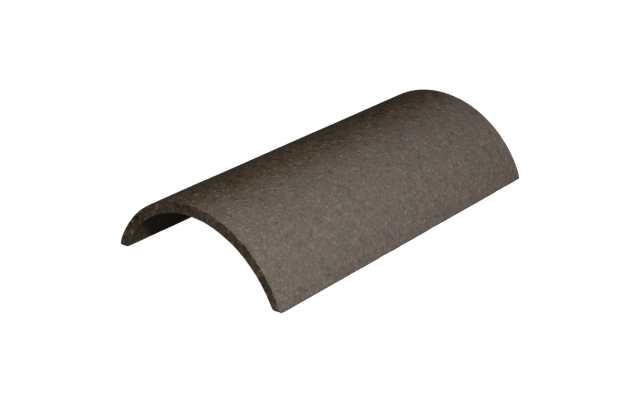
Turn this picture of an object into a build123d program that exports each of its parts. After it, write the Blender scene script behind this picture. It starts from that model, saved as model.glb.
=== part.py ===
from build123d import *
import os

# Half round ridge tile, one piece of extruded and cured concrete.
# It stands on its two feet as it lies on a ridge. X runs across the ridge, Y along it and Z up.
# The origin is on the ground, under the middle of the tile. All sizes are in millimetres.

# Sizes of the tile
tile_length = 457.0
tile_width = 250.0
tile_rise = 88.0
crown_wall = 15.0
foot_width = 12.5

# Rounding of the edges
foot_edge_radius = 1.5
end_edge_radius = 1.0


def tile_section():
    """The tile's cross section, an arched wall between two arcs that are thickest apart at the crown.

    The outer arc passes through the outer toes and the top of the crown. The inner arc has its own
    centre, a little lower, and passes through the heels and the crown's underside. Both feet are
    cut level, so that the tile lies flat, and their long edges are slightly rounded.
    """
    toe = tile_width / 2
    heel = toe - foot_width
    soffit = tile_rise - crown_wall
    with BuildSketch(Plane.XZ) as section:
        with BuildLine():
            ThreePointArc((-toe, 0), (0, tile_rise), (toe, 0))
            Line((toe, 0), (heel, 0))
            ThreePointArc((heel, 0), (0, soffit), (-heel, 0))
            Line((-heel, 0), (-toe, 0))
        make_face()
        fillet(section.vertices(), foot_edge_radius)
    return section.sketch


def ridge_tile():
    """The section carried along the ridge, with the rims of both cut ends slightly rounded."""
    with BuildPart() as tile:
        extrude(tile_section(), amount=tile_length / 2, both=True)
        front_end, back_end = tile.faces().filter_by(Axis.Y).sort_by(Axis.Y)
        fillet(front_end.edges() + back_end.edges(), end_edge_radius)
    return tile.part


os.makedirs("parts", exist_ok=True)
export_step(ridge_tile(), "parts/ridge_tile.step")
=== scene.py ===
# %% [markdown]
# # A half round ridge tile in brown concrete
#
# A ridge tile lies astride the top of a roof and covers the gap between its two slopes. This one is
# a single piece: a low arch of dense, through-coloured concrete, extruded, cut to length and cured.
# The lesson starts from the tile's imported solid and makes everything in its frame. It dresses the
# solid in three steps: the arched wall, the granular concrete, and the light that the tile is seen in.

import math

import bpy
import numpy as np
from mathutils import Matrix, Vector


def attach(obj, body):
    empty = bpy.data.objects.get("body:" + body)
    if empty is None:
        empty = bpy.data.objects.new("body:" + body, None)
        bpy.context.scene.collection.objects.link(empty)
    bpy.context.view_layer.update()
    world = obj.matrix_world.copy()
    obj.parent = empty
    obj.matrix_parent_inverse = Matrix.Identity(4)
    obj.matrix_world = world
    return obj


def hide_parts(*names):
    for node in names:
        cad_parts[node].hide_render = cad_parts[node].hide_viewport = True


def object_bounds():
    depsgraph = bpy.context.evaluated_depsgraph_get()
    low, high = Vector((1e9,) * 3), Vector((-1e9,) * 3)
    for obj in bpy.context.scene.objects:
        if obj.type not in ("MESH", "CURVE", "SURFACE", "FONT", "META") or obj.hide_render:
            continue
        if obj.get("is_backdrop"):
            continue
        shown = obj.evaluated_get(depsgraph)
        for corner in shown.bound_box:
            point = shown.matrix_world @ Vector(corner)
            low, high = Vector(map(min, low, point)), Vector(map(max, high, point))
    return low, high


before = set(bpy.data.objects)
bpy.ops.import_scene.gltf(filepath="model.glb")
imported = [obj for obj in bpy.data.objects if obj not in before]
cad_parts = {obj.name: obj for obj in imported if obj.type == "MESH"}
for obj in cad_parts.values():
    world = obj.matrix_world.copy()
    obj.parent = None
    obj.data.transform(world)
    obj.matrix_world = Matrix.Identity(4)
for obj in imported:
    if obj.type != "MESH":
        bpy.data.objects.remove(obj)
cad_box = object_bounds()
print("the packed tile fills", [round(float(v), 4) for v in cad_box[1] - cad_box[0]], "metres")

# %% [markdown]
# ## The sizes of the tile
#
# Everything is in metres, with X across the ridge, Y along it and Z up. The sizes are those of the
# real tile: its length, its width over the two feet, its height at the crown, and the thickness of
# its wall, which is a little less at the feet than at the crown. The wall lies between two arcs, and
# each arc follows from its width and its rise.

# %% Sizes of the tile
tile_length = 0.457
tile_width = 0.250
tile_rise = 0.088
crown_wall = 0.015
foot_width = 0.0125


def arc_through(half_width, rise):
    """Radius, height of the centre and half angle of the arc that is rise tall over two level ends.

    The radius is the square of the half width plus the square of the rise, over twice the rise.
    """
    radius = (half_width**2 + rise**2) / (2 * rise)
    centre = rise - radius
    return radius, centre, math.atan2(half_width, -centre)


outer_arc = arc_through(tile_width / 2, tile_rise)
inner_arc = arc_through(tile_width / 2 - foot_width, tile_rise - crown_wall)
print("outer and inner radius:", round(outer_arc[0], 4), round(inner_arc[0], 4))

# %% [markdown]
# ## How the wall is made
#
# The real tile is a ribbon of concrete bent over a mould: wide, long and 12 to 15 mm thick. It could
# be swept along the ridge and then bevelled, but a bevel gives every edge the same even rounding,
# and cut concrete has edges that are crisp here and crumbled there. So the wall is worked out as a
# flat block first. Each point on the block's skin is pulled back into the block by a radius and
# pushed out again by nearly the same radius, which rounds the edges. A radius that grows here and
# there gives the chips, and a slightly shorter push gives the waviness of a face. Then the whole
# block is bent into the arch. The grid is close near the edges, where the rounding needs it.

# %% Grid lines through the block
across_lines = 158
wall_lines = 5
along_lines = 222
edge_steps = np.array([0.0, 0.35, 0.70, 1.05, 1.60, 2.60]) * 1e-3

block = np.array([
    outer_arc[0] * outer_arc[2] + inner_arc[0] * inner_arc[2],
    crown_wall,
    tile_length,
])


def grid_lines(length, middle, steps):
    """Positions from 0 to length: the close steps at either end, and evenly spaced ones between."""
    inside = np.linspace(steps[-1], length - steps[-1], middle)[1:-1]
    return np.concatenate([steps, inside, (length - steps)[::-1]])


lines = [
    grid_lines(block[0], across_lines, edge_steps),
    grid_lines(block[1], wall_lines, edge_steps),
    grid_lines(block[2], along_lines, edge_steps),
]
print("grid lines across, through and along the wall:", [len(line) for line in lines])

# %% [markdown]
# Only the skin of the block is wanted, as one closed surface. Six separate grids would leave open
# seams, so every crossing of the grid lines has one number, and neighbouring sides share the numbers
# along their common edge. The block is measured across, through and along the wall, which become X,
# Z and Y on the tile. That swaps two directions, and a swap turns a surface inside out, so the faces
# are wound inwards on the block, and point outwards once it is bent.

# %% The skin of the block
wall_axis = 1


def block_skin(lines):
    """Points and faces of a block's skin, with the faces wound so that the bent tile's point outwards.

    Every crossing of three grid lines has a number. Each side of the block is the grid of the
    crossings whose first or last line it is, and the numbers of the inner crossings drop out.
    A side's grid keeps its two directions in order. For the two sides that face through the wall
    that order is the other way round, so their faces are turned the other way too.
    """
    counts = [len(line) for line in lines]
    number = np.arange(np.prod(counts)).reshape(counts)
    faces = []
    for axis in range(3):
        for end in (0, -1):
            side = np.take(number, end, axis=axis)
            quads = np.stack([side[:-1, :-1], side[1:, :-1], side[1:, 1:], side[:-1, 1:]], axis=-1)
            outward = (end == -1) == (axis == wall_axis)
            faces.append((quads if outward else quads[..., ::-1]).reshape(-1, 4))
    used, faces = np.unique(np.concatenate(faces), return_inverse=True)
    place = np.unravel_index(used, counts)
    points = np.stack([line[i] for line, i in zip(lines, place)], axis=-1)
    return points, faces.reshape(-1, 4)


skin, skin_faces = block_skin(lines)
print("skin:", len(skin), "points and", 2 * len(skin_faces), "triangles")

# %% [markdown]
# ## Noise for the waviness
#
# A roller or a blade never leaves concrete quite flat. A displacement texture could show that, but a
# sum of cosine waves in random directions is a simple smooth noise that numpy works out for all
# points at once, and a fixed seed gives the same tile each time.

# %% Smooth noise
maker = np.random.default_rng(457)


def waves(points, length, count=40, stretch=(1, 1, 1)):
    """Smooth noise from 0 to 1, made of waves that are each about length long.

    It is a half plus the sum of cosine waves in random directions, over the root of eight times
    their count, and it is cut off below 0 and above 1. A stretch of more than 1 draws the waves out
    along that direction.
    """
    direction = maker.normal(size=(count, 3))
    direction /= np.linalg.norm(direction, axis=1, keepdims=True)
    turns = 2 * np.pi / (length * maker.uniform(0.7, 1.5, count))
    phase = maker.uniform(0, 2 * np.pi, count)
    swing = np.cos(points / np.array(stretch) @ (direction * turns[:, None]).T + phase)
    return np.clip(0.5 + swing.sum(axis=1) / math.sqrt(8 * count), 0, 1)


# %% [markdown]
# ## Rounded and chipped edges
#
# The edges of the two cut ends are nearly sharp, and the toes are rounder, because the mould's lip
# forms them. Handling knocks small chips out of both. Cutting the chips with booleans would be slow
# and would leave sharp pits, so each chip is a place where the edge's radius grows.

# %% Radius of the edges
end_round = 1.0e-3
toe_round = 2.3e-3
toe_reach = 6e-3
chip_count = 90
chip_width = 5e-3
deepest_chip = 0.9e-3
edge_wobble = 0.5e-3
wobble_length = 0.014
wobble_middle = 0.3


def edge_chips(points, count, width, depth):
    """Extra rounding at random places along the block's edges.

    It is a sum of round bumps, one for each chip. A bump falls off as the exponential of minus the
    square of the distance from its middle over its own width.
    """
    place = maker.uniform(0, 1, (count, 3)) * block
    edge = maker.integers(0, 3, count)
    corner = maker.integers(0, 2, (count, 3)) * block
    along = np.arange(3)[None, :] == edge[:, None]
    place = np.where(along, place, corner)
    width = maker.uniform(0.4, 1.0, count) * width
    depth = maker.uniform(0.2, 1.0, count) * depth
    extra = np.zeros(len(points))
    for middle, spread, size in zip(place, width, depth):
        extra += size * np.exp(-(((points - middle) / spread) ** 2).sum(axis=1))
    return extra


to_toe = np.minimum(skin[:, 0], block[0] - skin[:, 0])
chip_depth = edge_chips(skin, chip_count, chip_width, deepest_chip)
radius = end_round + (toe_round - end_round) * np.exp(-(to_toe / toe_reach) ** 2)
radius += edge_wobble * (waves(skin, wobble_length) - wobble_middle) + chip_depth
print("edge radius from", round(1e3 * radius.min(), 2), "to", round(1e3 * radius.max(), 2), "mm")

# %% [markdown]
# ## Waviness of the faces
#
# Every face is a little uneven. The under side was drawn over the mould, so it also carries faint
# marks along the ridge. The two ends were cut with a blade while the concrete was green, which tore
# a little sand out of them. All of this is a depth, never a height, so the tile stays inside the
# sizes that it was packed with.

# %% Round the block and give its faces their waviness
least_depth = 0.03e-3
face_waves = [(0.110, 0.22e-3), (0.018, 0.08e-3), (0.009, 0.05e-3)]
mould_mark_length = 0.009
mould_mark_depth = 0.10e-3
mould_mark_stretch = (1, 1, 14)
cut_mark_length = 0.008
cut_mark_depth = 0.06e-3

core = np.clip(skin, radius[:, None], block - radius[:, None])
push = skin - core
push /= np.linalg.norm(push, axis=1, keepdims=True)
is_under = np.clip(-push[:, 1], 0, 1)
is_cut = np.abs(push[:, 2])
is_arris = (1 - np.abs(push).max(axis=1)) / (1 - math.sqrt(0.5))

depth = np.full(len(skin), least_depth)
for wave_length, wave_depth in face_waves:
    depth += wave_depth * waves(skin, wave_length)
depth += is_under * mould_mark_depth * waves(skin, mould_mark_length, stretch=mould_mark_stretch)
depth += is_cut * cut_mark_depth * waves(skin, cut_mark_length)
rounded = core + push * (radius - depth)[:, None]
print("the faces lie", (1e3 * depth.min()).round(2), "to", (1e3 * depth.max()).round(2), "mm deep")

# %% [markdown]
# ## The bend
#
# On the real tile the ribbon takes the shape of the mould. A Simple Deform modifier bends to a
# circle, but this wall lies between two arcs with different centres, so the bend is written out.

# %% Bend the block into the arch


def bend(points):
    """The block's points on the arch.

    The way across the block becomes an angle on the two arcs, from one foot to the other. The way
    through it becomes a straight line from the inner arc to the outer one.
    """
    side = 2 * points[:, 0] / block[0] - 1
    share = points[:, 1] / block[1]
    arcs = []
    for arc_radius, centre, half_angle in (inner_arc, outer_arc):
        angle = side * half_angle
        arcs.append(np.stack([arc_radius * np.sin(angle), centre + arc_radius * np.cos(angle)], axis=-1))
    section = arcs[0] + share[:, None] * (arcs[1] - arcs[0])
    return np.stack([section[:, 0], points[:, 2] - block[2] / 2, section[:, 1]], axis=-1)


tile_points = bend(rounded)
print("tile box:", tile_points.min(axis=0).round(5), tile_points.max(axis=0).round(5))

# %% [markdown]
# ## One mesh, with marks for its finish and its painted shade
#
# The concrete isn't the same all over: the mould side is smoother and worn edges are paler. The crown
# is darker and browner, which is painted shade, and the cut ends are darker, partly with painted
# shade. Separate materials would show hard borders between them. Instead each point of the mesh
# carries a number from 0 to 1 for each of the four, as an attribute, and the material mixes by it.
# The crown's number says where the painted shade lies. It falls off smoothly on both sides of its
# middle, which is a little to the -X side of the top.

# %% Put the points and faces into a mesh
# Middle and reach of the crown's painted shade, a little to the -X side of the top.
crown_shade_middle = math.radians(-10)
crown_shade_reach = math.radians(18)


def make_piece(name, points, faces, marks):
    """A smooth mesh object at the origin, with one named number per point for each of the marks."""
    mesh = bpy.data.meshes.new(name)
    mesh.from_pydata(points.tolist(), [], faces.tolist())
    mesh.polygons.foreach_set("use_smooth", np.ones(len(faces), bool))
    for mark, values in marks.items():
        mesh.attributes.new(mark, "FLOAT", "POINT").data.foreach_set("value", values.astype(np.float32))
    mesh.update()
    piece = bpy.data.objects.new(name, mesh)
    bpy.context.scene.collection.objects.link(piece)
    return piece


around = (2 * skin[:, 0] / block[0] - 1) * outer_arc[2]
# Painted shade: the crown's mark, on the outer face only.
crown_shade = np.clip(push[:, 1], 0, 1) * np.exp(-((around - crown_shade_middle) / crown_shade_reach) ** 2)
worn = np.clip(is_arris + chip_depth / deepest_chip, 0, 1)
tile_marks = {"under": is_under, "cut": is_cut, "crown_shade": crown_shade, "worn": worn}
tile = make_piece("concrete_tile", tile_points, skin_faces, tile_marks)
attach(tile, "root")
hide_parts("ridge_tile")
print("marks on the mesh:", {mark: round(float(values.mean()), 3) for mark, values in tile_marks.items()})

# %% [markdown]
# ## Maths on a surface, written as Python
#
# A material is a small sum worked out for every point of the surface. Nodes can do it, but a sum is
# easier to read as a sum. The class below wraps the socket of a node, so that a + b or 1 - a adds
# the Math node that works it out. Its node method makes every other kind of node.

# %% A number or colour that changes over the surface
mix_factor = 0
mix_first_colour = 6
mix_second_colour = 7
mix_colour_out = 2


class Field:
    """What one output socket says about each point of a surface. Its operators add Math nodes."""

    def __init__(self, tree, socket):
        self.tree = tree
        self.socket = socket

    def node(self, kind, settings=None, sockets=None, output=0):
        """A new node: its settings first, then the values or links of its sockets. Returns one output."""
        made = self.tree.nodes.new(kind)
        for setting, value in (settings or {}).items():
            setattr(made, setting, value)
        for socket, value in (sockets or {}).items():
            if isinstance(value, Field):
                self.tree.links.new(value.socket, made.inputs[socket])
            else:
                made.inputs[socket].default_value = value
        return Field(self.tree, made.outputs[output])

    def also(self, output):
        """Another output of the node that this field comes from."""
        return Field(self.tree, self.socket.node.outputs[output])

    def math(self, operation, first, second):
        """A Math node on two values, numbers or fields."""
        return self.node("ShaderNodeMath", {"operation": operation}, {0: first, 1: second})

    def __add__(self, other):
        return self.math("ADD", self, other)

    __radd__ = __add__

    def __sub__(self, other):
        return self.math("SUBTRACT", self, other)

    def __rsub__(self, other):
        return self.math("SUBTRACT", other, self)

    def __mul__(self, other):
        return self.math("MULTIPLY", self, other)

    __rmul__ = __mul__

    def ramp(self, low, high):
        """0 at low, 1 at high, and a smooth rise between. A high below low turns it round."""
        sockets = {"Value": self, "From Min": low, "From Max": high}
        return self.node("ShaderNodeMapRange", {"interpolation_type": "SMOOTHSTEP"}, sockets)

    def mix(self, first, second):
        """Between two colours, by this field: 0 gives the first and 1 the second."""
        sockets = {mix_factor: self, mix_first_colour: first, mix_second_colour: second}
        return self.node("ShaderNodeMix", {"data_type": "RGBA"}, sockets, mix_colour_out)

    def shaded(self, shade):
        """This colour times a shade, a number about 1."""
        tone = self.node("ShaderNodeCombineColor", {}, {"Red": shade, "Green": shade, "Blue": shade})
        settings = {"data_type": "RGBA", "blend_type": "MULTIPLY"}
        sockets = {mix_factor: 1.0, mix_first_colour: self, mix_second_colour: tone}
        return self.node("ShaderNodeMix", settings, sockets, mix_colour_out)


# %% [markdown]
# ## What brown concrete looks like
#
# The tile is one dry mix of sand, cement and brown pigment, pressed hard, so its face is matt and
# granular. The eye sees grains of sand, some pale and some dark, in a brown paste, and soft patches
# two or three centimetres wide, where the paste is a little redder, greener or more violet. An
# image texture would be stretched where the wall turns from the face to the ends. So the pattern is
# made of solid noise, which runs through the tile as the grains do. The colours come first.

# %% Colours of the mix
paste = (0.1255, 0.1080, 0.0935, 1)
red_paste = (0.1300, 0.1065, 0.0920, 1)
olive_paste = (0.1220, 0.1095, 0.0920, 1)
violet_paste = (0.1245, 0.1070, 0.0985, 1)
# Painted shade: the crown's paste is darker and browner than the flanks', with redder patches.
crown_shade_colour = (0.0935, 0.0770, 0.0515, 1)
red_crown_shade_colour = (0.1015, 0.0735, 0.0510, 1)
mould_paste = (0.1350, 0.1115, 0.0810, 1)
# The cut ends' paste is darker and browner, partly its own colour and partly painted shade.
cut_paste_and_shade = (0.0840, 0.0705, 0.0500, 1)
red_cut_paste_and_shade = (0.0965, 0.0665, 0.0515, 1)
worn_paste = (0.1500, 0.1260, 0.1020, 1)
pale_sand = (0.2480, 0.2200, 0.1980, 1)
dark_sand = (0.0450, 0.0370, 0.0310, 1)
# This ratio is the depth of the painted shade on the crown.
print("the crown's paste is", round(crown_shade_colour[1] / paste[1], 2), "times as bright as the flanks'")

# %% [markdown]
# ## Clouds and grains
#
# Two patterns make the whole finish. Noise gives soft clouds. Voronoi cells give grains: each cell
# has a middle, which is the top of the grain, and a random number of its own, which says whether
# that grain is pale, dark or like the paste. Both read Object coordinates, so the pattern is fixed
# to the tile. A grain is at its full height up to a tenth of a cell from its middle, and it ends
# seven tenths away.

# %% Patterns in the concrete
grain_top = 0.10
grain_foot = 0.70


def noise(place, size, detail=1):
    """Cloudy noise about 0, mostly between -1 and 1, whose patches are about size across.

    The texture lies about a half and seldom leaves it by more than a quarter, so it is moved down
    by a half and stretched four times.
    """
    sockets = {"Vector": place, "Scale": 1 / size, "Detail": detail}
    return (place.node("ShaderNodeTexNoise", {}, sockets) - 0.5) * 4


def sand(place, size):
    """Round grains about size apart: how far up its grain a point is, and the grain's own number."""
    reach = place.node("ShaderNodeTexVoronoi", {}, {"Vector": place, "Scale": 1 / size}, "Distance")
    lot = place.node("ShaderNodeSeparateColor", {}, {"Color": reach.also("Color")}, "Red")
    return 1 - reach.ramp(grain_top, grain_foot), lot


def mark(place, name):
    """One of the numbers stored on the mesh."""
    return place.node("ShaderNodeAttribute", {"attribute_name": name}, output="Fac")


# %% [markdown]
# ## The paste
#
# On the real tile the pigment isn't spread quite evenly. The crown is darker and browner, which is
# painted shade, and the cut ends are darker and browner, partly with painted shade. Painting that by
# hand would tie it to one view. So the paste's colours are laid over each other by noise and by the
# numbers on the mesh: first the soft patches of the flanks, then the crown's painted shade, the mould
# side and the cut ends. The crown's painted shade and the cut ends are redder in small patches,
# which one flat brown wouldn't show.

# %% Colour of the paste
tints = [(0.030, red_paste), (0.022, olive_paste), (0.018, violet_paste)]
tint_clouds = (0.0, 0.9)
crown_shade_patch = 0.014
crown_shade_clouds = (-0.7, 0.7)
cut_patch = 0.012
cut_clouds = (-0.4, 0.6)


def paste_colour(place, under, cut, crown_shade):
    """The paste's colour: the flanks' patches, overlaid by the crown's painted shade, the mould side and
    the cut ends, whose darker paste is partly painted shade.
    """
    body = paste
    for size, tint in tints:
        body = noise(place, size).ramp(*tint_clouds).mix(body, tint)
    # Painted shade on the crown, redder in small patches.
    crown_shade_mix = noise(place, crown_shade_patch, 2).ramp(*crown_shade_clouds).mix(crown_shade_colour, red_crown_shade_colour)
    # The cut ends' colour, partly painted shade, redder in small patches.
    cut_colour_and_shade = noise(place, cut_patch).ramp(*cut_clouds).mix(cut_paste_and_shade, red_cut_paste_and_shade)
    body = crown_shade.mix(body, crown_shade_mix)
    body = under.mix(body, mould_paste)
    return cut.mix(body, cut_colour_and_shade)


# %% [markdown]
# ## The sand
#
# Grains of one size look like a fabric, and real sand is graded. Three sizes, about 9, 5 and 3 mm
# apart, are laid over each other. Some grains are pale, some are dark, and every grain makes its
# spot a little lighter or darker. Clouds of three sizes go with them. The contrast is stronger on
# the cut ends, where more sand shows. On the crown the extra pale grains are painted glints, and the
# stronger contrast is painted light and shade of light grazing the grains.

# %% Speckle and shade
lump_size = 9.2e-3
grain_size = 4.8e-3
grit_size = 3.0e-3
lump_tone = 0.26
grain_tone = 0.24
grit_tone = 0.18
pale_lots = (0.70, 1.0)
pale_grain = 0.16
pale_grit = 0.22
dark_lots = (0.30, 0.0)
dark_grit = 0.18
# Painted light on the crown: extra pale grains as glints, and stronger mottling as grazing light and
# shade.
crown_glint_sand = 0.7
cut_sand = 1.2
crown_grazing_contrast = 0.9
cut_contrast = 1.2
sandy_cloud = 3.2e-3
broad_cloud = 14e-3
fine_tone = 0.03
sandy_tone = 0.12
broad_tone = 0.055
mean_shade = 0.99


def speckled(body, place, fine, cut, crown_shade, lump, grain, grit):
    """The paste's colour with its pale and dark grains, shaded by the mottling of grains and clouds."""
    (lump, lump_lot), (grain, grain_lot), (grit, grit_lot) = lump, grain, grit
    pale = grain * grain_lot.ramp(*pale_lots) * pale_grain + grit * grit_lot.ramp(*pale_lots) * pale_grit
    # On the crown the extra pale grains are painted glints.
    body = (pale * (1.0 + crown_shade * crown_glint_sand + cut * cut_sand)).mix(body, pale_sand)
    body = (grit * grit_lot.ramp(*dark_lots) * dark_grit).mix(body, dark_sand)

    mottle = grain * (grain_lot - 0.5) * grain_tone + grit * (grit_lot - 0.5) * grit_tone
    mottle = mottle + lump * (lump_lot - 0.5) * lump_tone
    mottle = mottle + fine * fine_tone
    mottle = mottle + noise(place, sandy_cloud) * sandy_tone + noise(place, broad_cloud) * broad_tone
    # On the crown the stronger mottling is painted light and shade.
    return body.shaded(mean_shade + mottle * (1.0 + crown_shade * crown_grazing_contrast + cut * cut_contrast))


# %% [markdown]
# ## The whole material
#
# The grains also stand a little proud of the paste. As real relief that would take millions of
# faces, so a Bump node only tilts the light on about half of the grains, less on the mould side and
# on the cut ends. Most of the mottling stays in the colour. Worn edges show a paler, dusty mix in
# patches. The face is matt, with hardly any gloss. What is the same all over, such as the gloss, is
# a plain value on the shader's own socket.

# %% The concrete material
fine_cloud = 1.3e-3
worn_patch = 4e-3
worn_clouds = (-0.5, 0.6)
worn_share = 0.5
lifted_grains = (0.40, 1.0)
grain_lift = 0.75
lifted_grit = (0.50, 1.0)
grit_lift = 0.45
cut_flatness = 0.7
mould_flatness = 0.8
relief_depth = 1.0e-3
mean_roughness = 0.90
roughness_swing = 0.04
gloss = 0.06


def sandy_concrete():
    """Granular brown concrete: patches, grains and light relief in solid noise, on Object coordinates."""
    material = bpy.data.materials.new("sandy_concrete")
    material.use_nodes = True
    tree = material.node_tree
    tree.nodes.clear()
    place = Field(tree, None).node("ShaderNodeTexCoord", output="Object")
    # The crown's mark carries painted shade.
    under, cut, crown_shade, worn = [mark(place, name) for name in ("under", "cut", "crown_shade", "worn")]
    lump, grain, grit = [sand(place, size) for size in (lump_size, grain_size, grit_size)]
    fine = noise(place, fine_cloud)

    body = paste_colour(place, under, cut, crown_shade)
    colour = speckled(body, place, fine, cut, crown_shade, lump, grain, grit)
    dusty = worn * noise(place, worn_patch, 2).ramp(*worn_clouds) * worn_share
    colour = dusty.mix(colour, worn_paste)

    height = grain[0] * grain[1].ramp(*lifted_grains) * grain_lift
    height = height + grit[0] * grit[1].ramp(*lifted_grit) * grit_lift
    height = height * (1 - cut * cut_flatness) * (1 - under * mould_flatness)
    sockets = {"Height": height, "Distance": relief_depth, "Strength": 1.0}
    relief = place.node("ShaderNodeBump", {}, sockets)
    roughness = mean_roughness + fine * roughness_swing

    sockets = {"Base Color": colour, "Roughness": roughness, "Normal": relief, "Specular IOR Level": gloss}
    shader = place.node("ShaderNodeBsdfPrincipled", {}, sockets)
    output = tree.nodes.new("ShaderNodeOutputMaterial")
    tree.links.new(shader.socket, output.inputs["Surface"])
    print("the concrete is worked out by", len(tree.nodes), "nodes")
    return material


tile.data.materials.append(sandy_concrete())

# %% [markdown]
# ## The floor
#
# The tile stands on a plain floor that looks white. A floor of white paint would throw so much light
# back that the hollow under the arch would be grey, and it should be nearly black. So the floor is
# dark to the tile and bright to the camera: a weak diffuse part, and a glow that only camera rays
# see.

# %% Make the floor
floor_half = 6.0
floor_grey = 0.12
floor_glow = 0.695
white = (1, 1, 1, 1)


def floor_material():
    """A pale floor: part of its paleness is only for the camera, so it throws little light back."""
    material = bpy.data.materials.new("pale_floor")
    material.cycles.emission_sampling = "NONE"
    material.use_nodes = True
    tree = material.node_tree
    tree.nodes.clear()
    seen = Field(tree, None).node("ShaderNodeLightPath", output="Is Camera Ray")
    matt = seen.node("ShaderNodeBsdfDiffuse", {}, {"Color": (floor_grey, floor_grey, floor_grey, 1)})
    glow = seen.node("ShaderNodeEmission", {}, {"Color": white, "Strength": seen * floor_glow})
    both = seen.node("ShaderNodeAddShader", {}, {0: matt, 1: glow})
    output = tree.nodes.new("ShaderNodeOutputMaterial")
    tree.links.new(both.socket, output.inputs["Surface"])
    return material


floor_corners = floor_half * np.array([(-1, -1, 0), (1, -1, 0), (1, 1, 0), (-1, 1, 0)])
floor = make_piece("floor", floor_corners, np.array([(0, 1, 2, 3)]), {})
floor.data.materials.append(floor_material())
floor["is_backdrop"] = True
print("the floor is", 2 * floor_half, "metres wide")

# %% [markdown]
# ## The light
#
# The right flank is light, the crown is in half shade, and the hollow is partly lit, with a fairly
# sharp edge to its shadow. A large soft light from above would flatten all of that. The shadow asks
# for a small key lamp at the front right. A larger lamp on the right evens out the flank, a low one
# in front reaches the cut end, and a faint low one on the left keeps the far flank readable. A dim
# even sky fills the rest, and is bright only to the camera.

# %% Lamps and sky


def place_and_aim(name, data, eye, aim):
    """An object at eye that looks along its own -Z axis at aim."""
    made = bpy.data.objects.new(name, data)
    made.location = eye
    made.rotation_mode = "QUATERNION"
    made.rotation_quaternion = (made.location - Vector(aim)).to_track_quat("Z", "Y")
    bpy.context.scene.collection.objects.link(made)
    return made


def toward(azimuth, elevation):
    """Unit vector from the tile: azimuth from +X towards +Y, and elevation, both in degrees."""
    a, e = math.radians(azimuth), math.radians(elevation)
    return np.array([math.cos(a) * math.cos(e), math.sin(a) * math.cos(e), math.sin(e)])


def soft_lamp(name, azimuth, elevation, distance, size, brightness):
    """A round lamp that faces the tile. Brightness is what it would give a white card at the tile.

    Its power is that brightness times the square of pi times the distance.
    """
    lamp = bpy.data.lights.new(name, "AREA")
    lamp.shape = "DISK"
    lamp.size = size
    lamp.energy = brightness * (math.pi * distance) ** 2
    place_and_aim(name, lamp, (distance * toward(azimuth, elevation)).tolist(), (0, 0, 0))
    print(name, "has", round(lamp.energy, 2), "watts at", distance, "metres")


soft_lamp("key_lamp", 319, 39, 1.10, 0.08, 0.645)
soft_lamp("side_lamp", 20, 34, 0.85, 0.30, 0.310)
soft_lamp("low_fill", 300, 8, 2.20, 0.60, 0.225)
soft_lamp("back_fill", 200, 4, 2.40, 0.50, 0.12)

sky_on_tile = 0.170
sky_for_camera = 0.65
world = bpy.data.worlds.new("studio")
world.use_nodes = True
world.node_tree.nodes.clear()
sky_seen = Field(world.node_tree, None).node("ShaderNodeLightPath", output="Is Camera Ray")
sky_sockets = {"Color": white, "Strength": sky_on_tile + sky_seen * sky_for_camera}
sky = sky_seen.node("ShaderNodeBackground", {}, sky_sockets)
sky_out = world.node_tree.nodes.new("ShaderNodeOutputWorld")
world.node_tree.links.new(sky.socket, sky_out.inputs["Surface"])
bpy.context.scene.world = world

# %% [markdown]
# ## The camera
#
# The camera looks down on the tile from the front right, with a fairly long lens. Placing it by eye
# would leave the outline a few pixels off, so its place, aim and lens were fitted until the tile's
# outline lay on the photograph's. The view is Standard with the High Contrast look, which deepens
# the shadows, and no denoiser smooths the grain away.

# %% The camera
lens = bpy.data.cameras.new("camera")
lens.sensor_width = 36.0
lens.lens = 75.596
eye = (0.94510, -1.12783, 0.70008)
aim = (-0.00262, -0.01602, 0.01860)
camera = place_and_aim("camera", lens, eye, aim)
bpy.context.scene.camera = camera
print("the camera is", round(math.dist(eye, aim), 3), "metres from what it aims at")

bpy.context.scene.view_settings.view_transform = "Standard"
bpy.context.scene.view_settings.look = "High Contrast"
bpy.context.scene.cycles.use_denoising = False

# %% [markdown]
# ## The last measure
#
# The dressed tile has to stay inside the box of the solid that it replaces, so both boxes are
# written out, and the room between them is measured on all six sides. No number may be negative.

# %% Compare the sizes and finish
visual_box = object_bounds()
print("dressed tile box:", [[round(float(v), 5) for v in corner] for corner in visual_box])
room = [visual_box[0] - cad_box[0], cad_box[1] - visual_box[1]]
print("room inside the solid's box:", [[round(1e3 * float(v), 2) for v in side] for side in room], "mm")
